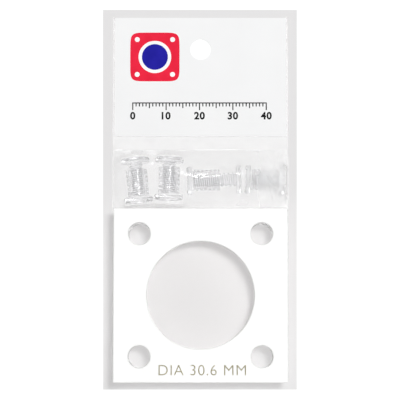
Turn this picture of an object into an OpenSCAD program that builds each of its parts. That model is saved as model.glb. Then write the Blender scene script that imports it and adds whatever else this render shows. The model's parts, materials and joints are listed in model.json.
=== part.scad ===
// Square coin holder sold as a kit: three stacked plates lie on the flat tail of a clear bag,
// and four two-piece binding screws wait in the bag's pocket under a white header with a hang hole.
// Lying on its back: +X to the right, +Y towards the header, +Z out of the front.

/* [Plates] */
// Side of the square plates
plate_w = 50.8; // [48:0.2:56]
// Thickness of each clear cover plate
cover_t = 3.2; // [2.6:0.1:3.4]
// Thickness of the white frame around the coin
frame_t = 2.4; // [2:0.1:3]
// Play between plates that lie on each other
plate_gap = 0.05; // [0.02:0.01:0.1]
// Distance between screw holes, centre to centre
hole_pitch = 35.8; // [33:0.2:38]
// Bevel along the plates' edges and round their holes
edge_bevel = 0.2; // [0.1:0.05:0.4]

/* [Coin seat] */
// Diameter of the coin that the frame holds
coin_d = 30.6; // [18:0.1:32]
// Free room all round the coin
coin_clear = 0.5; // [0.2:0.05:0.6]

/* [Binding screws] */
// Diameter of a post's barrel
barrel_d = 6.3; // [5.8:0.1:6.8]
// Free room between a barrel and its plate hole
barrel_clear = 0.15; // [0.1:0.05:0.3]
// Diameter of the heads of screw and post
head_d = 8.4; // [7.8:0.1:8.8]
// Thickness of the heads
head_t = 1.5; // [1.2:0.1:1.6]
// Bevel round each head's outer edge
head_bevel = 0.35; // [0.1:0.05:0.5]
// How much shorter a barrel is than the stack it clamps
clamp_gap = 0.6; // [0.4:0.1:1]
// Width of the driving slot across each head
slot_w = 1.2; // [0.8:0.1:1.6]
// Depth of the driving slot
slot_d = 0.7; // [0.4:0.1:0.9]

/* [Thread] */
// Distance that one turn moves a screw
thread_pitch = 1.25; // [1.1:0.05:1.3]
// Mean diameter of the screw's thread
thread_mean_d = 3.7; // [3.4:0.1:3.9]
// Height of the thread from root to crest
thread_h = 0.5; // [0.3:0.05:0.6]
// Free room between the screw's thread and the post's
thread_clear = 0.16; // [0.12:0.01:0.22]
// Gap under the screw's head when a pair is run right home
home_gap = 0.1; // [0.05:0.01:0.2]
// How far the screw's tip stays from the end of the post's barrel
tip_reserve = 0.9; // [0.7:0.1:1.2]

/* [Pairs in the pocket] */
// Turns that the lying pair 1 stands open
turns_1 = 3.75; // [0:0.25:4]
// Turns that the lying pair 2 stands open
turns_2 = 0.25; // [0:0.25:0.75]
// Turns that the upright pair 3 stands open
turns_3 = 1; // [0:0.25:2]
// Turns that the upright pair 4 stands open
turns_4 = 1.5; // [0:0.25:2]
// Widest opening of the lying pair 1, in turns
long_turns = 4; // [4:0.25:4.5]
// Widest opening of the lying pair 2, in turns
short_turns = 0.75; // [0.75:0.25:1]
// Widest opening of an upright pair, in turns
upright_turns = 2; // [1.5:0.25:2]
// Slant of pair 1 from the X axis
slant_1 = 1.5; // [-3:0.5:3]
// Slant of pair 2 from the X axis
slant_2 = -2.5; // [-3:0.5:3]
// Slant of pair 3 from the Y axis
slant_3 = -1.5; // [-6:0.5:6]
// Slant of pair 4 from the Y axis
slant_4 = 5; // [-6:0.5:6]
// Roll of pair 1 about its own axis
roll_1 = 35; // [-90:5:90]
// Roll of pair 2 about its own axis
roll_2 = 20; // [-90:5:90]
// Roll of pair 3 about its own axis
roll_3 = -30; // [-90:5:90]
// Roll of pair 4 about its own axis
roll_4 = 65; // [-90:5:90]
// How far the lying pairs lie above the pocket's middle
lying_rise = 0.5; // [0:0.1:1]
// Share of the pocket's spare width between neighbouring pairs
pair_share = 0.08; // [0.05:0.01:0.15]
// Share of the pocket's spare width between pair 1 and pair 3
group_share = 0.15; // [0.05:0.01:0.3]

/* [Bag] */
// How far the bag stands out past the plates on each side
bag_side = 0.85; // [0.2:0.05:2]
// Thickness of the film
film_t = 0.12; // [0.08:0.01:0.16]
// Free room between the film and what it covers
film_clear = 0.15; // [0.1:0.01:0.25]
// Distance from the plates' edge to the pocket's foot
pocket_foot = 0.35; // [0.3:0.05:0.6]
// Width of the weld along each side of the pocket
side_weld = 0.35; // [0.2:0.05:0.5]
// Inward lean of the pocket's walls
wall_lean = 0.35; // [0.2:0.05:0.5]
// Length of the pocket's slope towards the header
slope_l = 2.3; // [2:0.1:4]
// Height of the welded band between pocket and header
seal_l = 4.2; // [3:0.1:6]
// How far the bag's end stays under the plates' edge
tail_inset = 0.3; // [0.1:0.1:1]

/* [Header] */
// How far the header stays inside the bag's sides
header_side = 0.5; // [0:0.05:2]
// Height of the header
header_l = 35.9; // [30:0.1:45]
// Thickness of the header sheet
header_t = 0.5; // [0.4:0.05:0.8]
// Diameter of the hang hole
hang_d = 6.2; // [5:0.1:8]
// Distance from the header's top edge to the hang hole's centre
hang_drop = 9.65; // [7:0.05:12]

/* [Hidden] */
$fn = 64;
eps = 0.01;
// stack of plates on the bag's tail
tail_t = 2 * film_t;
back_z = tail_t + plate_gap;
front_z = back_z + cover_t + plate_gap;
frame_z = front_z + cover_t + plate_gap;
stack_t = 2 * cover_t + frame_t + 2 * plate_gap;
hole_d = barrel_d + 2 * barrel_clear;
seat_d = coin_d + 2 * coin_clear;
// binding screws
barrel_l = stack_t - clamp_gap;
shank_l = barrel_l - tip_reserve;
bore_l = shank_l + tip_reserve / 2;
thread_sides = 18;
thread_rows = 6;
axis_z = film_t + film_clear / 3 + head_d / 2;
function open_gap(turns) = home_gap + turns * thread_pitch;
function pair_l(turns) = open_gap(turns) + barrel_l + 2 * head_t;
// room that a pair takes up along its length and across it when it stands as far open as it may
function room_along(slant, turns) = pair_l(turns) * cos(slant) + head_d * abs(sin(slant));
function room_across(slant, turns) = head_d * cos(slant) + pair_l(turns) * abs(sin(slant));
// bag and pocket
bag_w = plate_w + 2 * bag_side;
header_w = bag_w - 2 * header_side;
wall_in = side_weld + wall_lean + film_t + film_clear;
upright_l = max(room_along(slant_3, upright_turns), room_along(slant_4, upright_turns));
top_l = upright_l + 2 * film_clear + 2 * film_t;
pocket_l = pocket_foot + wall_lean + top_l + slope_l;
// lengthwise layout, centred on the whole kit
kit_l = plate_w + pocket_l + seal_l + header_l;
y_low = -kit_l / 2;
y_plate = y_low + plate_w / 2;
y_pocket = y_low + plate_w + pocket_foot;
y_top0 = y_pocket + wall_lean;
y_top1 = y_top0 + top_l;
y_seal = y_top1 + slope_l;
y_header = y_seal + seal_l;
y_hang = kit_l / 2 - hang_drop;
// places of the pairs, from the pocket's right wall to the left: 2 and 1 lie in line, 3 and 4 stand up
upright_y = y_top1 - film_t - film_clear;
lying_y = (y_top0 + y_top1) / 2 + lying_rise;
room_1 = room_along(slant_1, long_turns);
room_2 = room_along(slant_2, short_turns);
room_3 = room_across(slant_3, upright_turns);
room_4 = room_across(slant_4, upright_turns);
spare_w = bag_w - 2 * wall_in - room_1 - room_2 - room_3 - room_4;
pair_gap = pair_share * spare_w;
group_gap = group_share * spare_w;
end_2 = bag_w / 2 - wall_in - pair_gap;
end_1 = end_2 - room_2 - pair_gap;
x_3 = end_1 - room_1 - group_gap - room_3 / 2;
x_4 = x_3 - room_3 / 2 - pair_gap - room_4 / 2;
// each spot is where the underside of a screw's head lies, and the direction its pair points
function lying_spot(end, slant, turns) = [
    end - head_t * cos(slant) - head_d / 2 * abs(sin(slant)),
    lying_y + (pair_l(turns) / 2 - head_t) * sin(slant),
    slant
];
function upright_spot(x, slant) = [
    x - (pair_l(upright_turns) / 2 - head_t) * sin(slant),
    upright_y - head_t * cos(slant) - head_d / 2 * abs(sin(slant)),
    90 + slant
];
spot_1 = lying_spot(end_1, slant_1, long_turns);
spot_2 = lying_spot(end_2, slant_2, short_turns);
spot_3 = upright_spot(x_3, slant_3);
spot_4 = upright_spot(x_4, slant_4);
// film over the pocket, on a grid of columns across and rows from the plates to the weld
film_columns = 30;
film_rows = 10;
taut_rounds = 60;
film_seam = 0.02;
rim_x = bag_w / 2 - side_weld;
column_w = 2 * (rim_x - wall_lean) / film_columns;
row_l = (y_top1 - y_top0) / film_rows;
film_x = concat(
    [-rim_x],
    [for (i = [0 : film_columns]) wall_lean - rim_x + i * column_w],
    [rim_x]
);
film_y = concat(
    [y_pocket],
    [for (j = [0 : film_rows]) y_top0 + j * row_l],
    [y_top1 + slope_l / 2, y_seal]
);
last_i = len(film_x) - 1;
last_j = len(film_y) - 1;
function at_rim(i, j) = i == 0 || j == 0 || i == last_i || j == last_j;
// height that the film needs over a pair at its widest: flat over the ends for one grid step more,
// and across it the tangent from one grid step nearer to its axis
cover_r = head_d / 2 + film_clear + film_t;
function pair_top(x, y, spot, turns, along_step, across_step) =
    let (along = (x - spot[0]) * cos(spot[2]) + (y - spot[1]) * sin(spot[2]))
    let (off = abs((y - spot[1]) * cos(spot[2]) - (x - spot[0]) * sin(spot[2])))
    let (near = max(0, off - across_step))
    let (over = along < head_t + along_step && along > head_t - pair_l(turns) - along_step)
    let (rise = over && near < cover_r ? sqrt(cover_r * cover_r - near * near) : 0)
    rise > 0 ? axis_z + rise - (off - near) * near / rise : tail_t;
function needed_z(x, y) =
    y > y_top1 + eps ? tail_t :
    max(
        tail_t,
        pair_top(x, y, spot_1, long_turns, column_w, row_l),
        pair_top(x, y, spot_2, short_turns, column_w, row_l),
        pair_top(x, y, spot_3, upright_turns, row_l, column_w),
        pair_top(x, y, spot_4, upright_turns, row_l, column_w)
    );
needed = [
    for (j = [0 : last_j])
        [for (i = [0 : last_i]) at_rim(i, j) ? tail_t : needed_z(film_x[i], film_y[j])]
];
// film drawn taut: each free point goes to the mean between its neighbours, never below what it covers
function mean(before, after, step_before, step_after) =
    (before * step_after + after * step_before) / (step_before + step_after);
function between(z, i, j) = (
    mean(z[j][i - 1], z[j][i + 1], film_x[i] - film_x[i - 1], film_x[i + 1] - film_x[i]) +
    mean(z[j - 1][i], z[j + 1][i], film_y[j] - film_y[j - 1], film_y[j + 1] - film_y[j])
) / 2;
function taut(z, rounds) =
    rounds == 0 ? z : taut([
        for (j = [0 : last_j])
            [for (i = [0 : last_i]) at_rim(i, j) ? tail_t : max(needed[j][i], between(z, i, j))]
    ], rounds - 1);
film_z = taut(needed, taut_rounds);
// shift that moves a bend between two slopes out by one thickness, as [sideways, up]
function bend_shift(slope_a, slope_b) =
    let (a = [-slope_a, 1] / norm([slope_a, 1]))
    let (b = [-slope_b, 1] / norm([slope_b, 1]))
    (a + b) / (1 + a * b);
function slope_x(i, j) = (film_z[j][i + 1] - film_z[j][i]) / (film_x[i + 1] - film_x[i]);
function slope_y(i, j) = (film_z[j + 1][i] - film_z[j][i]) / (film_y[j + 1] - film_y[j]);
// point of the film, drawn in by d from its outer side
function rim_shift(k, last) = k == 0 ? -1 : k == last ? 1 : 0;
function film_shift(i, j) =
    at_rim(i, j) ? [rim_shift(i, last_i), rim_shift(j, last_j), 1] :
    let (sx = bend_shift(slope_x(i - 1, j), slope_x(i, j)))
    let (sy = bend_shift(slope_y(i, j - 1), slope_y(i, j)))
    [sx[0], sy[0], sx[1] + sy[1] - 1];
function film_point(i, j, d) = [film_x[i], film_y[j], film_z[j][i]] - d * film_shift(i, j);

// Hole through a plate from z to z + t, bevelled at both mouths
module bevelled_hole(d, z, t) {
    past = 1;
    wide = d / 2 + edge_bevel + past;
    rotate_extrude()
        polygon([
            [0, z - past],
            [wide, z - past],
            [d / 2, z + edge_bevel],
            [d / 2, z + t - edge_bevel],
            [wide, z + t + past],
            [0, z + t + past]
        ]);
}

// Square plate with bevelled edges and four screw holes, standing on z
module drilled_plate(z, t) {
    inner_w = plate_w - 2 * edge_bevel;
    difference() {
        hull() {
            translate([-inner_w / 2, y_low + edge_bevel, z]) cube([inner_w, inner_w, t]);
            translate([-plate_w / 2, y_low, z + edge_bevel]) cube([plate_w, plate_w, t - 2 * edge_bevel]);
        }
        for (sx = [-1, 1])
            for (sy = [-1, 1])
                translate([sx * hole_pitch / 2, y_plate + sy * hole_pitch / 2, 0])
                    bevelled_hole(hole_d, z, t);
    }
}

// Rod with a right-hand rounded thread: its radius swings once per pitch, from z0 to z1
module threaded_rod(z0, z1, grow) {
    rows = ceil((z1 - z0) / thread_pitch * thread_rows);
    points = [
        for (k = [0 : rows])
            for (i = [0 : thread_sides - 1])
                let (z = z0 + (z1 - z0) * k / rows)
                let (a = 360 * i / thread_sides)
                let (r = thread_mean_d / 2 + grow + thread_h / 2 * cos(360 * z / thread_pitch - a))
                [r * cos(a), r * sin(a), z]
    ];
    function at(k, i) = k * thread_sides + (i % thread_sides);
    low = [for (i = [0 : thread_sides - 1]) at(0, i)];
    high = [for (i = [0 : thread_sides - 1]) at(rows, thread_sides - 1 - i)];
    up = [
        for (k = [0 : rows - 1])
            for (i = [0 : thread_sides - 1])
                [at(k, i), at(k + 1, i), at(k + 1, i + 1)]
    ];
    down = [
        for (k = [0 : rows - 1])
            for (i = [0 : thread_sides - 1])
                [at(k, i), at(k + 1, i + 1), at(k, i + 1)]
    ];
    polyhedron(points = points, faces = concat([low, high], up, down), convexity = 8);
}

// Round head from z = 0 up, bevelled at its outer edge and slotted
module slotted_head() {
    difference() {
        rotate_extrude()
            polygon([
                [0, 0],
                [head_d / 2, 0],
                [head_d / 2, head_t - head_bevel],
                [head_d / 2 - head_bevel, head_t],
                [0, head_t]
            ]);
        translate([-head_d, -slot_w / 2, head_t - slot_d]) cube([2 * head_d, slot_w, slot_d + 1]);
    }
}

// Screw with its head on the plane z = 0 and its shank below
module screw() {
    slotted_head();
    threaded_rod(-shank_l, head_t / 4, 0);
}

// Post with its mouth on the plane z = 0, barrel and head below
module post() {
    difference() {
        union() {
            translate([0, 0, -barrel_l - eps]) cylinder(d = barrel_d, h = barrel_l + eps);
            translate([0, 0, -barrel_l]) mirror([0, 0, 1]) slotted_head();
        }
        threaded_rod(-bore_l, thread_pitch / 2, thread_clear);
    }
}

// Post run back from its screw by whole and part turns, so the threads stay in mesh
module opened_post(turns) {
    translate([0, 0, -open_gap(turns)])
        rotate([0, 0, -360 * open_gap(turns) / thread_pitch])
            post();
}

// Puts a pair down on its spot, with its axis along the spot's direction
module lay(spot, roll) {
    translate([spot[0], spot[1], axis_z])
        rotate([0, 0, spot[2]])
            rotate([0, 90, 0])
                rotate([0, 0, roll])
                    children();
}

module lay_1() {
    lay(spot_1, roll_1) children();
}

module lay_2() {
    lay(spot_2, roll_2) children();
}

module lay_3() {
    lay(spot_3, roll_3) children();
}

module lay_4() {
    lay(spot_4, roll_4) children();
}

// Space under the film over the pocket, drawn in by d on every side, with a flat floor at z0
module pocket_form(d, z0) {
    x0 = rim_x - d;
    columns = last_i + 1;
    top = [for (j = [0 : last_j]) for (i = [0 : last_i]) film_point(i, j, d)];
    floor_points = [
        [-x0, y_pocket + d, z0],
        [x0, y_pocket + d, z0],
        [x0, y_seal - d, z0],
        [-x0, y_seal - d, z0]
    ];
    function at(i, j) = j * columns + i;
    f = len(top);
    upper = [
        for (j = [0 : last_j - 1])
            for (i = [0 : last_i - 1])
                [at(i, j), at(i, j + 1), at(i + 1, j + 1)]
    ];
    lower = [
        for (j = [0 : last_j - 1])
            for (i = [0 : last_i - 1])
                [at(i, j), at(i + 1, j + 1), at(i + 1, j)]
    ];
    near = concat([f], [for (i = [0 : last_i]) at(i, 0)], [f + 1]);
    right = concat([f + 1], [for (j = [0 : last_j]) at(last_i, j)], [f + 2]);
    far = concat([f + 2], [for (i = [last_i : -1 : 0]) at(i, last_j)], [f + 3]);
    left = concat([f + 3], [for (j = [last_j : -1 : 0]) at(0, j)], [f]);
    polyhedron(
        points = concat(top, floor_points),
        faces = concat(upper, lower, [near, right, far, left, [f, f + 1, f + 2, f + 3]]),
        convexity = 10
    );
}

module hang_hole() {
    translate([0, y_hang, -1]) cylinder(d = hang_d, h = tail_t + header_t + 2);
}

module header_panel() {
    color("white") difference() {
        translate([-header_w / 2, y_header, tail_t]) cube([header_w, header_l, header_t]);
        hang_hole();
    }
}

module film_sheet(z) {
    difference() {
        translate([-bag_w / 2, y_low + tail_inset, z]) cube([bag_w, kit_l - tail_inset, film_t]);
        hang_hole();
    }
}

module back_film() {
    color([0.9, 0.92, 0.94, 0.3]) film_sheet(0);
}

// Flat part of the front film, with a window where the pocket rises
module front_film() {
    color([0.9, 0.92, 0.94, 0.3]) difference() {
        film_sheet(film_t);
        translate([-rim_x - film_seam, y_pocket - film_seam, 0])
            cube([2 * (rim_x + film_seam), y_seal - y_pocket + 2 * film_seam, 1]);
    }
}

// Part of the front film that is drawn up over the fasteners
module pocket_film() {
    color([0.9, 0.92, 0.94, 0.3]) difference() {
        pocket_form(0, film_t);
        pocket_form(film_t, film_t - 1);
    }
}

module back_cover() {
    color([0.9, 0.95, 1, 0.4]) drilled_plate(back_z, cover_t);
}

module front_cover() {
    color([0.9, 0.95, 1, 0.4]) drilled_plate(front_z, cover_t);
}

module coin_frame() {
    color("white") difference() {
        drilled_plate(frame_z, frame_t);
        translate([0, y_plate, 0]) bevelled_hole(seat_d, frame_z, frame_t);
    }
}

module screw_1() {
    color([0.92, 0.95, 0.97, 0.5]) lay_1() screw();
}

module screw_2() {
    color([0.92, 0.95, 0.97, 0.5]) lay_2() screw();
}

module screw_3() {
    color([0.92, 0.95, 0.97, 0.5]) lay_3() screw();
}

module screw_4() {
    color([0.92, 0.95, 0.97, 0.5]) lay_4() screw();
}

module post_1() {
    color([0.85, 0.9, 0.95, 0.5]) lay_1() opened_post(turns_1);
}

module post_2() {
    color([0.85, 0.9, 0.95, 0.5]) lay_2() opened_post(turns_2);
}

module post_3() {
    color([0.85, 0.9, 0.95, 0.5]) lay_3() opened_post(turns_3);
}

module post_4() {
    color([0.85, 0.9, 0.95, 0.5]) lay_4() opened_post(turns_4);
}

header_panel();
back_film();
front_film();
pocket_film();
back_cover();
front_cover();
coin_frame();
screw_1();
screw_2();
screw_3();
screw_4();
post_1();
post_2();
post_3();
post_4();
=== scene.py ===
import json
import math

import bpy
import numpy as np
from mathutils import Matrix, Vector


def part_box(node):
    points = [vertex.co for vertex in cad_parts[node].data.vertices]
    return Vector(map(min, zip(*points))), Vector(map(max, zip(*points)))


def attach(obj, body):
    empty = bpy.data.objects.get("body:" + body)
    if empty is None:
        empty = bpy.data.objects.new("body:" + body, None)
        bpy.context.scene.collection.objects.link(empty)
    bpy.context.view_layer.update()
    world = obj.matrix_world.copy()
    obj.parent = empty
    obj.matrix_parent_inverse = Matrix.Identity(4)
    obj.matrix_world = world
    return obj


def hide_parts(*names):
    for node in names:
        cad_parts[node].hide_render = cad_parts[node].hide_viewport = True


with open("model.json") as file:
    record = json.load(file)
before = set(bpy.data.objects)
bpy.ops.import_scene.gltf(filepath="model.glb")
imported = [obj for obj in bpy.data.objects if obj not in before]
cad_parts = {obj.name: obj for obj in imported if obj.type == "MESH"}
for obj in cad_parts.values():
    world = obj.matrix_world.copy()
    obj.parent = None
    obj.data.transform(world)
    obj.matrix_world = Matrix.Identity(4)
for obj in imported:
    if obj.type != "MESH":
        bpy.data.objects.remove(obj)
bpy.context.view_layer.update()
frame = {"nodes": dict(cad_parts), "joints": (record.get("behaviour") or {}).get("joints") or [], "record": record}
mm = 0.001  # shapes below are worked out in millimetres
nodes = frame["nodes"]
joints = {joint["name"]: joint for joint in frame["joints"]}
mounts = {mount["name"]: mount for mount in frame["record"]["mounts"]}


def boxOf(node):
    low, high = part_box(node)
    return np.array(low) / mm, np.array(high) / mm


# Corner numbers of every cell of a grid; a wrapped grid joins its last column to its first
def gridCells(rows, columns, wrapped=False):
    row, column = np.meshgrid(np.arange(rows - 1), np.arange(columns - 1 + wrapped), indexing="ij")
    beside = (column + 1) % columns
    corners = [row * columns + column, row * columns + beside,
               (row + 1) * columns + beside, (row + 1) * columns + column]
    return np.stack(corners, -1).reshape(-1, 4)


def putPiece(name, points, faces, body, material, sharpAngle=35.0):
    mesh = bpy.data.meshes.new(name)
    mesh.from_pydata((points * mm).tolist(), [], faces)
    mesh.shade_smooth()
    mesh.set_sharp_from_angle(angle=math.radians(sharpAngle))
    mesh.materials.append(material)
    piece = bpy.data.objects.new(name, mesh)
    bpy.context.scene.collection.objects.link(piece)
    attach(piece, body)
    return piece


# A thin closed sheet: the top grid, the same grid one thickness down along the surface normal,
# and a rim wall along every cell edge that no other kept cell shares
def sheetShell(top, thickness, keep=None):
    rows, columns = top.shape[:2]
    normal = np.cross(np.gradient(top, axis=1), np.gradient(top, axis=0))
    normal /= np.linalg.norm(normal, axis=2, keepdims=True)
    points = np.concatenate([top.reshape(-1, 3), (top - thickness * normal).reshape(-1, 3)])
    cells = gridCells(rows, columns)
    if keep is not None:
        cells = cells[keep.ravel()]
    count = rows * columns
    start, end = cells.ravel(), np.roll(cells, -1, axis=1).ravel()
    rim = ~np.isin(end * count + start, start * count + end)
    walls = np.stack([end[rim], start[rim], start[rim] + count, end[rim] + count], 1)
    faces = np.concatenate([cells, cells[:, ::-1] + count, walls])
    used, faces = np.unique(faces, return_inverse=True)
    return points[used], faces.reshape(-1, 4), used % count


hangHole = {
    "x": mounts["hang_hole"]["pos_m"][0] / mm, "y": mounts["hang_hole"]["pos_m"][1] / mm,
    "radius": mounts["hang_hole"]["dims"]["r_mm"],
    "reach": 7.0,  # how far from its centre a grid bends round the hole
    "cells": 24,  # cells across the hole
}


# Evenly spaced grid lines, about a step apart
def evenLines(low, high, step):
    return np.linspace(low, high, 1 + max(1, round((high - low) / step)))


# Grid lines from low to high that also fall on both sides of the hang hole
def linesThrough(low, high, centre, step):
    radius = hangHole["radius"]
    inside = np.linspace(centre - radius, centre + radius, 1 + hangHole["cells"])
    before, after = evenLines(low, inside[0], step), evenLines(inside[-1], high, step)
    return np.concatenate([before, inside[1:], after[1:]])


# A grid with the hang hole left out. The square hole's rim is rounded: a point's distance from the centre
# goes from its square ring's half side, at the rim, to its true distance at the reach
def holedGrid(columns, rows):
    x, y = np.meshgrid(columns, rows)
    dx, dy = x - hangHole["x"], y - hangHole["y"]
    ring, far = np.maximum(abs(dx), abs(dy)), np.hypot(dx, dy)
    midX, midY = (dx[1:, 1:] + dx[:-1, :-1]) / 2, (dy[1:, 1:] + dy[:-1, :-1]) / 2
    keep = np.maximum(abs(midX), abs(midY)) > hangHole["radius"]
    blend = np.clip((ring - hangHole["radius"]) / (hangHole["reach"] - hangHole["radius"]), 0, 1)
    scale = np.where(far > 0, (ring * (1 - blend) + far * blend) / np.maximum(far, 1e-9), 1)
    return hangHole["x"] + dx * scale, hangHole["y"] + dy * scale, keep


def smoothRise(value, low, high):
    share = np.clip((value - low) / (high - low), 0, 1)
    return share * share * (3 - 2 * share)


# Shader helpers

def newMaterial(name):
    material = bpy.data.materials.new(name)
    material.use_nodes = True
    tree = material.node_tree
    tree.nodes.clear()
    return material, tree, tree.nodes.new("ShaderNodeOutputMaterial")


def addNode(tree, kind, values=(), **settings):
    node = tree.nodes.new(kind)
    for key, value in settings.items():
        setattr(node, key, value)
    for key, value in dict(values).items():
        node.inputs[key].default_value = value
    return node


# Moulded plastic at three scales, on object coordinates: slow clouding, fine grain and hairline scuffs
def makeSurfaceGroup():
    tree = bpy.data.node_groups.new("plasticSurface", "ShaderNodeTree")
    tree.interface.new_socket("Position", in_out="INPUT", socket_type="NodeSocketVector")
    for key in ("Cloud Scale", "Grain Scale", "Scuff Scale", "Roughness", "Scuff"):
        tree.interface.new_socket(key, in_out="INPUT", socket_type="NodeSocketFloat")
    for key in ("Cloud", "Height", "Roughness"):
        tree.interface.new_socket(key, in_out="OUTPUT", socket_type="NodeSocketFloat")
    given = tree.nodes.new("NodeGroupInput")
    made = tree.nodes.new("NodeGroupOutput")
    link = tree.links.new
    cloud = addNode(tree, "ShaderNodeTexNoise", {"Detail": 3.0})
    grain = addNode(tree, "ShaderNodeTexNoise", {"Detail": 2.0})
    stretch = addNode(tree, "ShaderNodeMapping", {"Scale": (1.0, 0.06, 1.0), "Rotation": (0.0, 0.0, 0.5)})
    scuff = addNode(tree, "ShaderNodeTexNoise", {"Detail": 4.0})
    line = addNode(tree, "ShaderNodeMapRange", {"From Min": 0.66, "From Max": 0.74})
    scuffAmount = addNode(tree, "ShaderNodeMath", operation="MULTIPLY")
    height = addNode(tree, "ShaderNodeMath", operation="SUBTRACT")
    swing = addNode(tree, "ShaderNodeMapRange", {"To Min": -0.05, "To Max": 0.05})
    rough = addNode(tree, "ShaderNodeMath", operation="ADD")
    roughScuffed = addNode(tree, "ShaderNodeMath", {2: 0.0}, operation="MULTIPLY_ADD", use_clamp=True)
    roughScuffed.inputs[1].default_value = 0.25
    for noise, scale in ((cloud, "Cloud Scale"), (grain, "Grain Scale"), (scuff, "Scuff Scale")):
        link(given.outputs[scale], noise.inputs["Scale"])
    link(given.outputs["Position"], cloud.inputs["Vector"])
    link(given.outputs["Position"], grain.inputs["Vector"])
    link(given.outputs["Position"], stretch.inputs["Vector"])
    link(stretch.outputs["Vector"], scuff.inputs["Vector"])
    link(scuff.outputs["Fac"], line.inputs["Value"])
    link(line.outputs["Result"], scuffAmount.inputs[0])
    link(given.outputs["Scuff"], scuffAmount.inputs[1])
    link(grain.outputs["Fac"], height.inputs[0])
    link(scuffAmount.outputs[0], height.inputs[1])
    link(cloud.outputs["Fac"], swing.inputs["Value"])
    link(swing.outputs["Result"], rough.inputs[0])
    link(given.outputs["Roughness"], rough.inputs[1])
    link(scuffAmount.outputs[0], roughScuffed.inputs[0])
    link(rough.outputs[0], roughScuffed.inputs[2])
    link(cloud.outputs["Fac"], made.inputs["Cloud"])
    link(height.outputs[0], made.inputs["Height"])
    link(roughScuffed.outputs[0], made.inputs["Roughness"])
    return tree


surfaceGroup = makeSurfaceGroup()


# Places the surface group in a material and returns it with a bump node fed by its height
def addSurface(tree, finish):
    place = addNode(tree, "ShaderNodeTexCoord")
    group = addNode(tree, "ShaderNodeGroup", node_tree=surfaceGroup)
    for key in ("Cloud Scale", "Grain Scale", "Scuff Scale", "Roughness", "Scuff"):
        group.inputs[key].default_value = finish[key]
    depth = finish["bumpDepth"] * mm
    bump = addNode(tree, "ShaderNodeBump", {"Strength": finish["bump"], "Distance": depth})
    tree.links.new(place.outputs["Object"], group.inputs["Position"])
    tree.links.new(group.outputs["Height"], bump.inputs["Height"])
    return group, bump


# Opaque plastic or ink: the colour clouds slowly between two close shades
def opaqueMaterial(name, finish):
    material, tree, output = newMaterial(name)
    group, bump = addSurface(tree, finish)
    shade = addNode(tree, "ShaderNodeValToRGB")
    shade.color_ramp.elements[0].position = 0.3
    shade.color_ramp.elements[0].color = (*finish["dark"], 1)
    shade.color_ramp.elements[1].position = 0.7
    shade.color_ramp.elements[1].color = (*finish["light"], 1)
    body = addNode(tree, "ShaderNodeBsdfPrincipled", finish.get("sockets", {}))
    tree.links.new(group.outputs["Cloud"], shade.inputs["Fac"])
    tree.links.new(shade.outputs["Color"], body.inputs["Base Color"])
    tree.links.new(group.outputs["Roughness"], body.inputs["Roughness"])
    tree.links.new(bump.outputs["Normal"], body.inputs["Normal"])
    tree.links.new(body.outputs["BSDF"], output.inputs["Surface"])
    return material


# Sends a surface to the output, but lets shadow rays and rays that left a matt surface straight through,
# so that light reaches what lies under clear plastic
def passLight(tree, surface, tint, output):
    path = addNode(tree, "ShaderNodeLightPath")
    for ray in ("Is Shadow Ray", "Is Diffuse Ray"):
        passing = addNode(tree, "ShaderNodeBsdfTransparent", {"Color": (*tint, 1)})
        mix = addNode(tree, "ShaderNodeMixShader")
        tree.links.new(path.outputs[ray], mix.inputs[0])
        tree.links.new(surface, mix.inputs[1])
        tree.links.new(passing.outputs["BSDF"], mix.inputs[2])
        surface = mix.outputs["Shader"]
    tree.links.new(surface, output.inputs["Surface"])


# Clear plastic: a moulded glass
def clearMaterial(name, finish):
    material, tree, output = newMaterial(name)
    group, bump = addSurface(tree, finish)
    glass = addNode(tree, "ShaderNodeBsdfPrincipled", finish["sockets"])
    straight = addNode(tree, "ShaderNodeBsdfTransparent")
    body = addNode(tree, "ShaderNodeMixShader", {0: finish["straight"]})
    tree.links.new(group.outputs["Roughness"], glass.inputs["Roughness"])
    tree.links.new(bump.outputs["Normal"], glass.inputs["Normal"])
    tree.links.new(glass.outputs["BSDF"], body.inputs[1])
    tree.links.new(straight.outputs["BSDF"], body.inputs[2])
    passLight(tree, body.outputs["Shader"], finish["shadowTint"], output)
    return material


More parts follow.
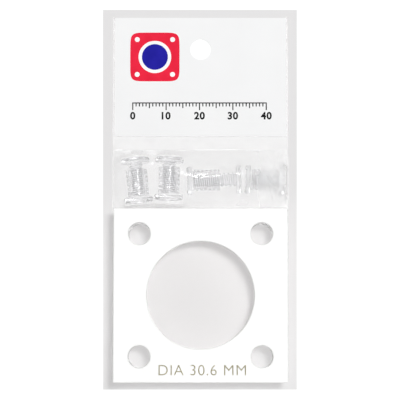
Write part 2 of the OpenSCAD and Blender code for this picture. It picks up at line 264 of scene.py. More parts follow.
# Bag film: clear, and milky where the haze attribute says so, with milk and gloss on its outer sides
def filmMaterial(name, finish):
    material, tree, output = newMaterial(name)
    group, bump = addSurface(tree, finish)
    milk = addNode(tree, "ShaderNodeBsdfPrincipled", finish["sockets"])
    haze = addNode(tree, "ShaderNodeAttribute", attribute_name="haze")
    clouded = addNode(tree, "ShaderNodeMath", operation="MULTIPLY")
    vary = addNode(tree, "ShaderNodeMapRange", {"To Min": 0.8, "To Max": 1.2})
    shine = addNode(tree, "ShaderNodeBsdfGlossy", {"Roughness": finish["gloss"]})
    edge = addNode(tree, "ShaderNodeFresnel", {"IOR": finish["ior"]})
    side = addNode(tree, "ShaderNodeNewGeometry")
    outer = addNode(tree, "ShaderNodeMath", {0: 1.0}, operation="SUBTRACT")
    milky = addNode(tree, "ShaderNodeMath", operation="MULTIPLY")
    amount = addNode(tree, "ShaderNodeMath", operation="MULTIPLY")
    glossy = addNode(tree, "ShaderNodeMixShader")
    tree.links.new(group.outputs["Cloud"], vary.inputs["Value"])
    tree.links.new(vary.outputs["Result"], clouded.inputs[0])
    tree.links.new(haze.outputs["Fac"], clouded.inputs[1])
    tree.links.new(group.outputs["Roughness"], milk.inputs["Roughness"])
    for shaded in (milk, shine, edge):
        tree.links.new(bump.outputs["Normal"], shaded.inputs["Normal"])
    tree.links.new(side.outputs["Backfacing"], outer.inputs[1])
    tree.links.new(clouded.outputs[0], milky.inputs[0])
    tree.links.new(outer.outputs[0], milky.inputs[1])
    tree.links.new(milky.outputs[0], milk.inputs["Alpha"])
    tree.links.new(edge.outputs["Fac"], amount.inputs[0])
    tree.links.new(outer.outputs[0], amount.inputs[1])
    tree.links.new(amount.outputs[0], glossy.inputs[0])
    tree.links.new(milk.outputs["BSDF"], glossy.inputs[1])
    tree.links.new(shine.outputs["BSDF"], glossy.inputs[2])
    tree.links.new(glossy.outputs["Shader"], output.inputs["Surface"])
    return material


# Camera, floor and light

view = {
    "distance": 500.0,
    "tilt": 5.0,  # degrees off straight down, towards the plates' end
    "target": (-0.15, -0.51, 0.0),
    "lens": 150.8, "sensor": 36.0,
}


def makeCamera():
    tilt = math.radians(view["tilt"])
    data = bpy.data.cameras.new("photoCamera")
    data.sensor_width = view["sensor"]
    data.lens = view["lens"]
    data.clip_start = 0.01
    data.clip_end = 20.0
    camera = bpy.data.objects.new("photoCamera", data)
    back = np.array([0.0, -math.sin(tilt), math.cos(tilt)])
    camera.location = (np.array(view["target"]) + view["distance"] * back) * mm
    camera.rotation_euler = (tilt, 0.0, 0.0)
    bpy.context.scene.collection.objects.link(camera)
    bpy.context.scene.camera = camera


studio = {
    "floorHalf": 1500.0,
    "floorDrop": 0.02,  # the floor lies this far under the back film
    "pictureParts": 400,  # parts across the picture, in which the card's edges are given
    "card": {"left": 103.0, "right": 296.8, "upper": 9.9, "lower": 389.6},
    "spotRoom": 0.5, "spotLift": 0.01, "spotPoints": 64,  # white spot on the card, under the hang hole
    "skyTop": 0.44,
    "skySide": 0.36,
    "fill": 1.4,  # shadowless light from straight above
    "glintWay": (-0.1, 0.9, 1.0),
    "glintPower": 2.6,
    "keyWay": (0.215, 0.15, 1.0),
    "keyPower": 3.2,
    "bounces": 28,
    "diskDistance": 900.0,
    "diskSize": 210.0,
}
floorFinish = {
    "dark": (0.92, 0.92, 0.92), "light": (0.94, 0.94, 0.94), "Roughness": 0.9, "Scuff": 0.0,
    "Cloud Scale": 6.0, "Grain Scale": 900.0, "Scuff Scale": 40.0, "bump": 0.05, "bumpDepth": 0.05,
    "sockets": {"Specular IOR Level": 0.1},
}
cardFinish = {**floorFinish, "dark": (0.672, 0.664, 0.666), "light": (0.686, 0.678, 0.680)}


def makeDisk(name, way, power):
    data = bpy.data.lights.new(name, "AREA")
    data.shape = "DISK"
    data.size = studio["diskSize"] * mm
    data.energy = power
    disk = bpy.data.objects.new(name, data)
    way = np.array(way) / np.linalg.norm(way)
    disk.location = way * studio["diskDistance"] * mm
    disk.rotation_euler = (0.0, math.acos(way[2]), math.atan2(way[1], way[0]))
    bpy.context.scene.collection.objects.link(disk)
    return disk


# Where a point of the picture, counted from its upper left, meets the floor
def floorPoint(across, down):
    tilt = math.radians(view["tilt"])
    middle = studio["pictureParts"] / 2
    part = view["sensor"] / view["lens"] / studio["pictureParts"]
    right, up = (across - middle) * part, (middle - down) * part
    ray = np.array([right, up * math.cos(tilt) + math.sin(tilt), up * math.sin(tilt) - math.cos(tilt)])
    eye = np.array(view["target"]) + view["distance"] * np.array([0.0, -math.sin(tilt), math.cos(tilt)])
    return eye + ray * (eye[2] + studio["floorDrop"]) / -ray[2]


# The floor is a grid of four by four points, and its middle cell is the card
def makeFloor():
    half, card = studio["floorHalf"], studio["card"]
    points = []
    for rim, edge in ((-half, "lower"), (None, "lower"), (None, "upper"), (half, "upper")):
        left, right = floorPoint(card["left"], card[edge]), floorPoint(card["right"], card[edge])
        y = left[1] if rim is None else rim
        points += [(x, y, -studio["floorDrop"]) for x in (-half, left[0], right[0], half)]
    mesh = bpy.data.meshes.new("floor")
    mesh.from_pydata((np.array(points) * mm).tolist(), [], gridCells(4, 4).tolist())
    mesh.materials.append(opaqueMaterial("whiteFloor", floorFinish))
    mesh.materials.append(opaqueMaterial("greyCard", cardFinish))
    mesh.polygons[4].material_index = 1
    floor = bpy.data.objects.new("floor", mesh)
    bpy.context.scene.collection.objects.link(floor)


# The spot is a flat disc a little wider than the hole, so that the hole shows nothing but white
def makeSpot():
    radius = hangHole["radius"] + studio["spotRoom"]
    turn = np.linspace(0, 2 * math.pi, studio["spotPoints"], endpoint=False)
    x, y = hangHole["x"] + radius * np.cos(turn), hangHole["y"] + radius * np.sin(turn)
    z = np.full_like(x, studio["spotLift"] - studio["floorDrop"])
    mesh = bpy.data.meshes.new("floorSpot")
    mesh.from_pydata((np.stack([x, y, z], -1) * mm).tolist(), [], [list(range(len(x)))])
    mesh.materials.append(bpy.data.materials["whiteFloor"])
    spot = bpy.data.objects.new("floorSpot", mesh)
    bpy.context.scene.collection.objects.link(spot)


def makeStudio():
    world = bpy.data.worlds.new("studioSky")
    bpy.context.scene.world = world
    world.use_nodes = True
    tree = world.node_tree
    tree.nodes.clear()
    output = addNode(tree, "ShaderNodeOutputWorld")
    glow = addNode(tree, "ShaderNodeBackground")
    way = addNode(tree, "ShaderNodeTexCoord")
    split = addNode(tree, "ShaderNodeSeparateXYZ")
    ramp = addNode(tree, "ShaderNodeMapRange", {"To Min": studio["skySide"], "To Max": studio["skyTop"]})
    tree.links.new(way.outputs["Generated"], split.inputs["Vector"])
    tree.links.new(split.outputs["Z"], ramp.inputs["Value"])
    tree.links.new(ramp.outputs["Result"], glow.inputs["Strength"])
    tree.links.new(glow.outputs["Background"], output.inputs["Surface"])

    key = makeDisk("keyLight", studio["keyWay"], studio["keyPower"])
    key.visible_glossy = False  # it shades, and leaves no mirror spot on the flat film
    glint = makeDisk("glintLight", studio["glintWay"], studio["glintPower"])
    glint.visible_diffuse = False
    data = bpy.data.lights.new("fillLight", "SUN")
    data.energy = studio["fill"]
    data.use_shadow = False
    fill = bpy.data.objects.new("fillLight", data)
    fill.visible_glossy = False
    fill.visible_transmission = False
    bpy.context.scene.collection.objects.link(fill)
    bpy.context.scene.view_settings.view_transform = "Standard"
    bpy.context.scene.cycles.max_bounces = studio["bounces"]  # light turns often inside the clear plates
    bpy.context.scene.cycles.transmission_bounces = studio["bounces"]
    bpy.context.scene.cycles.glossy_bounces = studio["bounces"]
    bpy.context.scene.cycles.transparent_max_bounces = studio["bounces"]


makeCamera()
makeFloor()
makeSpot()
makeStudio()
print("studio: camera, floor, sky and key light")


# The three plates keep their own solids and take moulded acrylic finishes

whitePlateFinish = {
    "dark": (0.905, 0.905, 0.900), "light": (0.935, 0.935, 0.930), "Roughness": 0.3, "Scuff": 0.25,
    "Cloud Scale": 45.0, "Grain Scale": 2600.0, "Scuff Scale": 420.0, "bump": 0.06, "bumpDepth": 0.03,
    "sockets": {"IOR": 1.49, "Coat Weight": 0.25, "Coat Roughness": 0.08},
}
clearPlateFinish = {
    "Roughness": 0.06, "Scuff": 0.12, "shadowTint": (1.0, 1.0, 1.0), "straight": 0.35,
    "Cloud Scale": 40.0, "Grain Scale": 1500.0, "Scuff Scale": 420.0, "bump": 0.02, "bumpDepth": 0.02,
    "sockets": {"Base Color": (1.0, 0.994, 0.993, 1), "IOR": 1.49, "Transmission Weight": 1.0},
}


def dressPlates():
    white = opaqueMaterial("whiteAcrylic", whitePlateFinish)
    clear = clearMaterial("clearAcrylic", clearPlateFinish)
    for node, material in (("coin_frame", white), ("back_cover", clear), ("front_cover", clear)):
        nodes[node].data.materials.clear()
        nodes[node].data.materials.append(material)


dressPlates()
print("plates: white coin frame, two clear covers")


# The clear fasteners: a slotted head and a helical thread, each one polar grid about its own axis

fastener = {
    "headRadius": 4.2, "headHeight": 1.5, "rimBevel": 0.35, "underRound": 0.1,
    "slotWidth": 1.2, "slotDepth": 0.7, "slotMiddle": 0.3,
    "barrelRadius": 3.15, "barrelLength": 8.3, "mouthBevel": 0.15,
    "pitch": 1.25, "threadRadius": 1.85, "threadHeight": 0.5, "threadRoom": 0.16,
    "shankLength": 7.4, "boreLength": 7.85, "tipTaper": 0.5, "tipLoss": 0.3, "homeGap": 0.1,
    "rolls": (35.0, 20.0, -30.0, 65.0),  # how each pair lies turned about its axis
    "columns": 96, "rowsPerTurn": 24,
}
fastenerFinish = {
    "Roughness": 0.05, "Scuff": 0.05, "shadowTint": (0.97, 0.97, 0.972), "straight": 0.0,
    "Cloud Scale": 160.0, "Grain Scale": 900.0, "Scuff Scale": 600.0, "bump": 0.05, "bumpDepth": 0.02,
    "sockets": {"Base Color": (0.89, 0.893, 0.90, 1), "IOR": 1.47, "Transmission Weight": 1.0},
}


# Angles round the axis, with a close pair of columns at each end of the slot
def fastenerAngles():
    slotEnd = math.asin(fastener["slotWidth"] / 2 / fastener["headRadius"])
    hair = 0.002
    ends = np.array([slotEnd, math.pi - slotEnd, math.pi + slotEnd, 2 * math.pi - slotEnd])
    even = np.linspace(0, 2 * math.pi, fastener["columns"], endpoint=False)
    return np.sort(np.concatenate([even, ends - hair, ends + hair])), math.sin(slotEnd)


# Head rows from the slot's floor out over the rim and under. Where the slot runs out through the rim,
# every row sits at the floor's height. Elsewhere the wall stands at half the slot's width from the axis
def headRows(angle, slotSine):
    radius, height, bevel = fastener["headRadius"], fastener["headHeight"], fastener["rimBevel"]
    floor = height - fastener["slotDepth"]
    through = abs(np.sin(angle)) < slotSine
    wall = np.minimum(fastener["slotWidth"] / 2 / np.maximum(abs(np.sin(angle)), 1e-6), radius)
    shoulder = np.maximum(wall, radius - bevel)
    wallTop = np.minimum(height, height - (wall - radius + bevel))
    shoulderTop = np.minimum(height, height - (shoulder - radius + bevel))
    step = 0.001  # keeps the rows apart at the slot's open ends
    rows = [
        (np.full_like(angle, fastener["slotMiddle"]), np.full_like(angle, floor)),
        (np.where(through, radius - 3 * step, wall), np.full_like(angle, floor)),
        (np.where(through, radius - 2 * step, wall), np.where(through, floor - step, wallTop)),
        (np.where(through, radius - step, shoulder), np.where(through, floor - 2 * step, shoulderTop)),
        (np.full_like(angle, radius), np.where(through, floor - 3 * step, height - bevel)),
        (np.full_like(angle, radius), np.full_like(angle, fastener["underRound"])),
        (np.full_like(angle, radius - fastener["underRound"]), np.zeros_like(angle)),
    ]
    return np.array([row[0] for row in rows]), np.array([row[1] for row in rows]), floor


# Thread radius = mean radius + half the thread's height times the cosine of (turns along it - angle)
def threadRows(angle, length, extra):
    count = int(length / fastener["pitch"] * fastener["rowsPerTurn"])
    along = np.linspace(0, -length, count)[:, None]
    wave = np.cos(2 * math.pi * along / fastener["pitch"] - angle[None, :])
    radius = fastener["threadRadius"] + extra + fastener["threadHeight"] / 2 * wave
    return radius, np.broadcast_to(along, radius.shape)


# Closes rows of (radius, height) round the axis into a solid with one point at each end of the axis
def turnedSolid(angle, radius, height, firstHeight, lastHeight):
    rows, columns = radius.shape
    x, y = radius * np.cos(angle), radius * np.sin(angle)
    points = np.concatenate([np.stack([x, y, height], -1).reshape(-1, 3),
                             [[0, 0, firstHeight], [0, 0, lastHeight]]])
    quads = gridCells(rows, columns, wrapped=True)[:, ::-1]
    column = np.arange(columns)
    beside = (column + 1) % columns
    first = np.stack([np.full(columns, rows * columns), column, beside], 1)
    last = np.stack([np.full(columns, rows * columns + 1), beside + (rows - 1) * columns,
                     column + (rows - 1) * columns], 1)
    return points, quads.tolist() + first.tolist() + last.tolist()


# Screw: the head, then the thread down to a tip whose radius shrinks smoothly by a share of itself
def screwShape():
    angle, slotSine = fastenerAngles()
    headRadius, headHeight, floor = headRows(angle, slotSine)
    radius, height = threadRows(angle, fastener["shankLength"], 0.0)
    taper = smoothRise(-height, fastener["shankLength"] - fastener["tipTaper"], fastener["shankLength"])
    radius = radius * (1 - fastener["tipLoss"] * taper)
    return turnedSolid(angle, np.concatenate([headRadius, radius]), np.concatenate([headHeight, height]),
                       floor, -fastener["shankLength"])


# Post: a head at the far end, the plain barrel up to its mouth, then the threaded bore back down inside
def postShape():
    angle, slotSine = fastenerAngles()
    headRadius, headHeight, floor = headRows(angle, slotSine)
    boreRadius, boreHeight = threadRows(angle, fastener["boreLength"], fastener["threadRoom"])
    barrel, bevel = fastener["barrelLength"], fastener["mouthBevel"]
    even = np.ones_like(angle)
    barrelRadius = np.array([even * fastener["barrelRadius"], even * fastener["barrelRadius"],
                             even * (fastener["barrelRadius"] - bevel)])
    barrelHeight = np.array([even * -barrel, even * -bevel, even * 0.0])
    points, faces = turnedSolid(angle, np.concatenate([headRadius, barrelRadius, boreRadius]),
                                np.concatenate([-barrel - headHeight, barrelHeight, boreHeight]),
                                -barrel - floor, -fastener["boreLength"])
    return points, [face[::-1] for face in faces]  # the head is mirrored, so the faces turn round


# Turns a solid about its own axis, slides it along, and lays the axis down where the pair's joint has it
def layFastener(points, turn, slide, joint):
    cosine, sine = math.cos(turn), math.sin(turn)
    x = cosine * points[:, 0] - sine * points[:, 1]
    y = sine * points[:, 0] + cosine * points[:, 1]
    axis = np.array(joint["axis"])
    down, across = np.array([0.0, 0.0, -1.0]), np.array([-axis[1], axis[0], 0.0])
    start = np.array(joint["pos_m"]) / mm
    return start + np.outer(x, down) + np.outer(y, across) + np.outer(points[:, 2] + slide, axis)


# How far a pair stands open at rest, and at its widest
def pairGaps(number):
    low, high = np.array(joints[f"post_{number}_draw"]["range_m"]) / mm
    return fastener["homeGap"] - low, fastener["homeGap"] - low + high


def makeFasteners():
    clear = clearMaterial("clearFastenerPlastic", fastenerFinish)
    screw, screwFaces = screwShape()
    post, postFaces = postShape()
    for number, roll in enumerate(fastener["rolls"], 1):
        joint = joints[f"screw_{number}_turn"]
        gap = pairGaps(number)[0]
        unscrewed = -2 * math.pi * gap / fastener["pitch"]
        screwPoints = layFastener(screw, math.radians(roll), 0.0, joint)
        screwPiece = putPiece(f"clearScrew{number}", screwPoints, screwFaces, f"screw_{number}", clear)
        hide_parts(f"screw_{number}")
        postPoints = layFastener(post, math.radians(roll) + unscrewed, -gap, joint)
        postPiece = putPiece(f"clearPost{number}", postPoints, postFaces, f"post_{number}", clear)
        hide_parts(f"post_{number}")


makeFasteners()
print("fasteners: four screws and four posts")


# The bag: a flat back film, and a front film drawn taut over the fasteners

film = {
    "thickness": 0.09,
    "flatTop": 0.215,  # top of the front film where it lies flat
    "backTop": 0.1,
    "step": 0.25, "tailStep": 1.4, "headerStep": 1.3, "weldStep": 0.38, "backStep": 1.5,
    "wallStep": 0.05, "wallDepth": 1.5,
    "hazePocket": 0.22, "hazeTail": 0.02, "hazeWeld": 0.30, "hazeBack": 0.25,
    "hazeRight": 0.16, "rightReach": (14.0, 24.0),  # the front film's haze rises towards the bag's right side, which lightens the pocket there
    "ribHeight": 0.012, "ribPitch": 0.7, "weldBlend": (-0.6, 0.5),  # fine ribs pressed into the weld
}
filmFinish = {
    "ior": 1.45, "gloss": 0.14,
    "Roughness": 0.45, "Scuff": 0.3, "Cloud Scale": 120.0, "Grain Scale": 700.0, "Scuff Scale": 500.0,
    "bump": 0.2, "bumpDepth": 0.05,
    "sockets": {"Base Color": (0.95, 0.95, 0.95, 1), "IOR": 1.5},
}
pocket = {
    "foot": 0.35,  # how far past the plates' edge the pocket begins
    "weldHeight": 4.2,  # the welded band between the pocket and the header
    "side": 0.35,  # the film lies flat this near the bag's side edges
    "cell": 0.2, "rounds": 1600, "room": 0.17, "endRoom": 0.3,
    "wrinkles": 46, "wrinkleSeed": 11, "wrinkleHeight": (0.08, 0.30), "wrinkleWidth": (0.22, 0.5),
    "wrinkleLength": (1.4, 4.5), "wrinkleLean": 35.0, "wrinkleRim": (0.4, 2.2),
}
pocket["low"] = boxOf("coin_frame")[1][1] + pocket["foot"]
pocket["header"] = boxOf("header_panel")[0][1]
pocket["weld"] = pocket["header"] - pocket["weldHeight"]


# Height that each pair needs over its whole travel: round bars lying down, a head, a barrel and a head
def fastenerTops(x, y):
    tops = np.zeros_like(x)
    head, barrel = fastener["headHeight"], fastener["barrelLength"]
    for number in range(1, len(fastener["rolls"]) + 1):
        joint = joints[f"screw_{number}_turn"]
        start, axis = np.array(joint["pos_m"]) / mm, np.array(joint["axis"])
        along = (x - start[0]) * axis[0] + (y - start[1]) * axis[1]
        off = (y - start[1]) * axis[0] - (x - start[0]) * axis[1]
        widest = pairGaps(number)[1]
        bars = ((0.0, head, fastener["headRadius"]),
                (-widest - barrel - head, -fastener["homeGap"] - barrel, fastener["headRadius"]),
                (-widest - barrel, -fastener["homeGap"], fastener["barrelRadius"]))
        for near, far, radius in bars:
            reach = radius + pocket["room"]
            rise = start[2] + np.sqrt(np.maximum(reach**2 - off**2, 0))
            inside = (along > near - pocket["endRoom"]) & (along < far + pocket["endRoom"])
            tops = np.where(inside & (abs(off) < reach), np.maximum(tops, rise), tops)
    return tops


# A taut skin: each free point goes to the mean of its four neighbours, and never below what it covers
def tautSkin(covered, edge):
    skin = np.maximum(covered, edge)
    skin[[0, -1]], skin[:, [0, -1]] = edge, edge
    for _ in range(pocket["rounds"]):
        mean = (skin[:-2, 1:-1] + skin[2:, 1:-1] + skin[1:-1, :-2] + skin[1:-1, 2:]) / 4
        skin[1:-1, 1:-1] = np.maximum(mean, covered[1:-1, 1:-1])
    return skin


# Reads a regular grid at any points, weighting the four grid values round each
def readGrid(values, xLine, yLine, x, y):
    column = np.clip((x - xLine[0]) / (xLine[1] - xLine[0]), 0, len(xLine) - 1.001)
    row = np.clip((y - yLine[0]) / (yLine[1] - yLine[0]), 0, len(yLine) - 1.001)
    c, r = column.astype(int), row.astype(int)
    cs, rs = column - c, row - r
    low = values[r, c] * (1 - cs) + values[r, c + 1] * cs
    high = values[r + 1, c] * (1 - cs) + values[r + 1, c + 1] * cs
    return low * (1 - rs) + high * rs


# Soft creases that stand out of the film: each is a bell across its line and a bell along it
def creases(x, y, low, high):
    draw = np.random.default_rng(pocket["wrinkleSeed"])
    count = pocket["wrinkles"]
    cx, cy = draw.uniform(low[0], high[0], count), draw.uniform(low[1], high[1], count)
    lean = np.radians(90 + draw.uniform(-1, 1, count) * pocket["wrinkleLean"])
    length = draw.uniform(*pocket["wrinkleLength"], count)
    width = draw.uniform(*pocket["wrinkleWidth"], count)
    height = draw.uniform(*pocket["wrinkleHeight"], count)
    dx, dy = x[..., None] - cx, y[..., None] - cy
    along, across = dx * np.cos(lean) + dy * np.sin(lean), dy * np.cos(lean) - dx * np.sin(lean)
    bells = height * np.exp(-((along / length) ** 2) - (across / width) ** 2)
    inward = np.minimum(np.minimum(x - low[0], high[0] - x), np.minimum(y - low[1], high[1] - y))
    return bells.sum(-1) * smoothRise(inward, *pocket["wrinkleRim"])


def makeFilms():
    low, high = boxOf("front_film")
    clear = filmMaterial("clearBagFilm", filmFinish)
    columns = linesThrough(low[0], high[0], hangHole["x"], film["step"])
    headerRows = linesThrough(pocket["header"], high[1], hangHole["y"], film["headerStep"])
    wallTop = pocket["low"] + film["wallDepth"]
    rows = np.concatenate([
        evenLines(low[1], pocket["low"], film["tailStep"])[:-1],
        evenLines(pocket["low"], wallTop, film["wallStep"])[:-1],
        evenLines(wallTop, pocket["weld"], film["step"])[:-1],
        evenLines(pocket["weld"], pocket["header"], film["weldStep"])[:-1], headerRows])
    x, y, keep = holedGrid(columns, rows)

    # the skin is worked out on an even grid over the pocket, then read at the film's own points
    pocketLow = np.array([low[0] + pocket["side"], pocket["low"]])
    pocketHigh = np.array([high[0] - pocket["side"], pocket["weld"]])
    xLine = evenLines(pocketLow[0], pocketHigh[0], pocket["cell"])
    yLine = evenLines(pocketLow[1], pocketHigh[1], pocket["cell"])
    skin = tautSkin(fastenerTops(*np.meshgrid(xLine, yLine)), film["flatTop"])
    inPocket = (x > pocketLow[0]) & (x < pocketHigh[0]) & (y > pocketLow[1]) & (y < pocketHigh[1])
    raised = readGrid(skin, xLine, yLine, x, y) + creases(x, y, pocketLow, pocketHigh)
    weldStart, weldFull = film["weldBlend"]
    weld = smoothRise(y, pocket["weld"] + weldStart, pocket["weld"] + weldFull)
    ribs = film["ribHeight"] * weld * np.cos((y - pocket["weld"]) * 2 * math.pi / film["ribPitch"])
    z = np.where(inPocket, raised, film["flatTop"] + ribs)
    milk = film["hazePocket"] + film["hazeRight"] * smoothRise(x, *film["rightReach"])
    haze = np.where(y < pocket["low"], film["hazeTail"], milk)
    haze = haze + (film["hazeWeld"] - haze) * weld
    makeFilm("bagFrontFilm", np.stack([x, y, z], -1), keep, haze, clear, "front_film", "pocket_film")
    makeFilm("bagBackFilm", *backFilmGrid(low, high, headerRows), clear, "back_film")


# The back film lies flat on the floor, on a coarser grid of its own
def backFilmGrid(low, high, headerRows):
    columns = linesThrough(low[0], high[0], hangHole["x"], film["backStep"])
    lower = evenLines(low[1], pocket["header"], film["backStep"])
    x, y, keep = holedGrid(columns, np.concatenate([lower[:-1], headerRows]))
    haze = np.where(y < pocket["low"], film["hazeTail"], film["hazeBack"])
    return np.stack([x, y, np.full_like(x, film["backTop"])], -1), keep, haze


def makeFilm(name, top, keep, haze, material, *stoodFor):
    points, faces, source = sheetShell(top, film["thickness"], keep)
    piece = putPiece(name, points, faces.tolist(), "bag", material, 50.0)
    piece.visible_shadow = False  # thin film takes next to no light from what it covers
    piece.visible_diffuse = False
    milky = piece.data.attributes.new("haze", "FLOAT", "POINT")
    milky.data.foreach_set("value", haze.ravel()[source].astype(np.float32))
    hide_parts(*stoodFor)


makeFilms()
print("bag: back film, front film over the pocket")


# The header sheet, and the plain marks printed on it

header = {
    "step": 1.1, "thickness": 0.07,
    "wave": 0.02, "waveX": 9.0, "waveY": 13.0,  # how much the sheet ripples, and over what lengths
    "slantX": 15.0, "slantY": 6.0, "slantShare": 0.5, "phase": 0.6,
}
headerFinish = {
    "dark": (0.782, 0.784, 0.787), "light": (0.802, 0.804, 0.807), "Roughness": 0.5, "Scuff": 0.15,
    "Cloud Scale": 70.0, "Grain Scale": 1800.0, "Scuff Scale": 300.0, "bump": 0.08, "bumpDepth": 0.03,
    "sockets": {"IOR": 1.45},
}


# Header height = one thickness over the solid's underside, plus a ripple that never dips below it: the
# product of two sines across and along, and a smaller slanting sine
def headerTop(x, y):
    crossed = np.sin(x / header["waveX"] + header["phase"]) * np.cos(y / header["waveY"])
    slanting = header["slantShare"] * np.sin(y / header["slantY"] + x / header["slantX"])
    ripple = header["wave"] * (crossed + slanting + 1 + header["slantShare"])
    return boxOf("header_panel")[0][2] + header["thickness"] + ripple


def makeHeader():
    low, high = boxOf("header_panel")
    columns = linesThrough(low[0], high[0], hangHole["x"], header["step"])
    rows = linesThrough(low[1], high[1], hangHole["y"], header["step"])
    x, y, keep = holedGrid(columns, rows)
    points, faces, _ = sheetShell(np.stack([x, y, headerTop(x, y)], -1), header["thickness"], keep)
    piece = putPiece("headerSheet", points, faces.tolist(), "bag",
                     opaqueMaterial("whiteHeaderFilm", headerFinish))
    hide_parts("header_panel")


inkFinish = {
    "Roughness": 0.4, "Scuff": 0.2, "Cloud Scale": 300.0, "Grain Scale": 4000.0, "Scuff Scale": 900.0,
    "bump": 0.06, "bumpDepth": 0.02, "sockets": {"Specular IOR Level": 0.15},
}
inkShare = 0.8  # an ink layer's thickness, as a share of how high its top stands over the header
capitalShare = 0.7  # a capital letter's height, as a share of the size that it is set in
letterRise = 0.6  # how high the middle of a letter's thickness stands, as a share of its lift


def inkMaterial(name, dark, light):
    return opaqueMaterial(name, {**inkFinish, "dark": dark, "light": light})


# A flat mark: a grid's square rings pushed out to rounded ones, radius = ring size times the rim's radius
# that way. The rim is a superellipse, a circle at power 2 and a round-cornered square at higher powers
def flatMark(name, mark, x, y, material):
    side = np.linspace(-1, 1, 2 * mark["cells"] + 1)
    u, v = np.meshgrid(side, side)
    ring, angle = np.maximum(abs(u), abs(v)), np.arctan2(v, u)
    power = mark["power"]
    rim = mark["radius"] * (abs(np.cos(angle)) ** power + abs(np.sin(angle)) ** power) ** (-1 / power)
    x, y = x + ring * rim * np.cos(angle), y + ring * rim * np.sin(angle)
    top = np.stack([x, y, headerTop(x, y) + mark["lift"]], -1)
    points, faces, _ = sheetShell(top, mark["lift"] * inkShare)
    putPiece(name, points, faces.tolist(), "bag", material)


badge = {
    "x": -13.7, "y": 42.6, "cornerDots": 5.3,  # how far the dots stand from the middle, each way
    "board": {"radius": 7.4, "power": 7.0, "cells": 24, "lift": 0.012},
    "opening": {"radius": 4.9, "power": 2.0, "cells": 20, "lift": 0.02},
    "disc": {"radius": 3.9, "power": 2.0, "cells": 20, "lift": 0.028},
    "dot": {"radius": 0.75, "power": 2.0, "cells": 6, "lift": 0.02},
}
rule = {
    "x": -0.3, "y": 26.6, "length": 40, "width": 0.32, "tickTop": 1.9, "lift": 0.014,
    "tickLength": {1: 0.9, 5: 1.4, 10: 2.0}, "numberEvery": 10, "numberHeight": 2.1, "numberDrop": 1.8,
    "numberBold": 0.11,
}


# Words or numbers as a thin mesh, laid on a surface: each point goes up by the surface's height under it
def lettering(name, words, letter, surface, body, material):
    curve = bpy.data.curves.new(name, "FONT")
    curve.body = words
    curve.align_x, curve.align_y = "CENTER", "CENTER"
    curve.size = letter["height"] / capitalShare * mm
    curve.space_character = letter["spacing"]
    curve.extrude = letter["lift"] / 2 * mm
    curve.offset = letter["bold"] * mm
    curve.resolution_u = 5
    holder = bpy.data.objects.new(name, curve)
    bpy.context.scene.collection.objects.link(holder)
    bpy.context.view_layer.update()
    mesh = bpy.data.meshes.new_from_object(holder.evaluated_get(bpy.context.evaluated_depsgraph_get()))
    bpy.data.objects.remove(holder)
    bpy.data.curves.remove(curve)
    points = np.empty(len(mesh.vertices) * 3, np.float32)
    mesh.vertices.foreach_get("co", points)
    points = points.reshape(-1, 3).astype(float) / mm
    middle = (points.min(0) + points.max(0)) / 2
    points[:, 0] += letter["x"] - middle[0]
    points[:, 1] += letter["y"] - middle[1]
    points[:, 2] += surface(points[:, 0], points[:, 1]) + letter["lift"] * letterRise
    mesh.vertices.foreach_set("co", (points * mm).ravel().astype(np.float32))
    mesh.name = name
    mesh.shade_flat()
    mesh.materials.clear()
    mesh.materials.append(material)
    piece = bpy.data.objects.new(name, mesh)
    bpy.context.scene.collection.objects.link(piece)
    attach(piece, body)


# Printed bars, each a box from its lower left to its upper right corner, sitting on the header
def printedBars(name, left, right, bottom, top, material):
    x = np.stack([left, right, right, left] * 2, 1)
    y = np.stack([bottom, bottom, top, top] * 2, 1)
    height = headerTop(x, y) + rule["lift"]
    height[:, :4] -= rule["lift"] * inkShare
    points = np.stack([x, y, height], -1).reshape(-1, 3)
    corners = np.array([[4, 5, 6, 7], [3, 2, 1, 0], [0, 1, 5, 4],
                        [1, 2, 6, 5], [2, 3, 7, 6], [3, 0, 4, 7]])
    faces = (corners[None] + 8 * np.arange(len(left))[:, None, None]).reshape(-1, 4)
    putPiece(name, points, faces.tolist(), "bag", material)


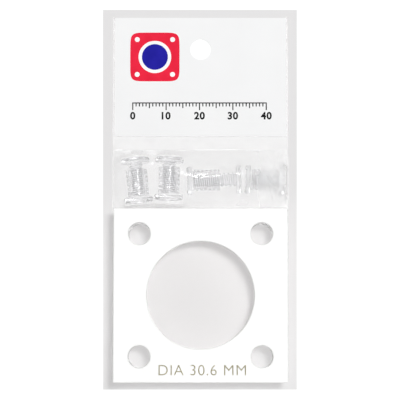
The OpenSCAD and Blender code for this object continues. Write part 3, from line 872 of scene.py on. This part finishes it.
def printRule():
    black = inkMaterial("blackInk", (0.004, 0.004, 0.005), (0.010, 0.010, 0.011))
    mark = np.arange(rule["length"] + 1)
    reach = np.where(mark % 10 == 0, rule["tickLength"][10],
                     np.where(mark % 5 == 0, rule["tickLength"][5], rule["tickLength"][1]))
    at = rule["x"] - rule["length"] / 2 + mark
    top = np.full(len(mark), rule["y"] + rule["tickTop"])
    half = rule["width"] / 2
    printedBars("ruleTicks", at - half, at + half, top - reach, top, black)
    printedBars("ruleLine", at[:-1] - half, at[1:] + half, top[1:], top[1:] + rule["width"], black)
    for number in range(0, rule["length"] + 1, rule["numberEvery"]):
        letter = {"x": rule["x"] - rule["length"] / 2 + number, "y": rule["y"] - rule["numberDrop"],
                  "height": rule["numberHeight"], "spacing": 1.1, "lift": rule["lift"],
                  "bold": rule["numberBold"]}
        lettering(f"ruleNumber{number}", str(number), letter, headerTop, "bag", black)


def printBadge():
    red = inkMaterial("redInk", (0.70, 0.012, 0.040), (0.78, 0.018, 0.052))
    white = inkMaterial("whiteInk", (0.83, 0.83, 0.83), (0.87, 0.87, 0.87))
    blue = inkMaterial("blueInk", (0.010, 0.008, 0.27), (0.014, 0.011, 0.32))
    for name, form, material in (("badgeBoard", "board", red), ("badgeOpening", "opening", white),
                                 ("badgeDisc", "disc", blue)):
        flatMark(name, badge[form], badge["x"], badge["y"], material)
    corner = badge["cornerDots"]
    for number, (right, up) in enumerate(((-1, -1), (1, -1), (1, 1), (-1, 1)), 1):
        x, y = badge["x"] + right * corner, badge["y"] + up * corner
        flatMark(f"badgeDot{number}", badge["dot"], x, y, white)


makeHeader()
printBadge()
printRule()
print("header: sheet, badge and printed rule")


# Gold foil diameter, stamped on the white plate

foil = {
    "words": "DIA 30.6 MM", "x": 0.5, "y": -50.9, "height": 3.1, "spacing": 1.08,
    "lift": 0.02, "bold": -0.05,  # a little thinner than the plain letter
}
foilFinish = {
    "dark": (0.76, 0.69, 0.42), "light": (0.92, 0.86, 0.58), "Roughness": 0.34, "Scuff": 0.3,
    "Cloud Scale": 500.0, "Grain Scale": 3000.0, "Scuff Scale": 900.0, "bump": 0.15, "bumpDepth": 0.02,
    "sockets": {"Metallic": 1.0},
}


def plateTop(x, y):
    return np.full_like(x, boxOf("coin_frame")[1][2])


gold = opaqueMaterial("goldFoil", foilFinish)
lettering("foilNumber", foil["words"], foil, plateTop, "coin_frame", gold)
print("foil: diameter on the coin frame")
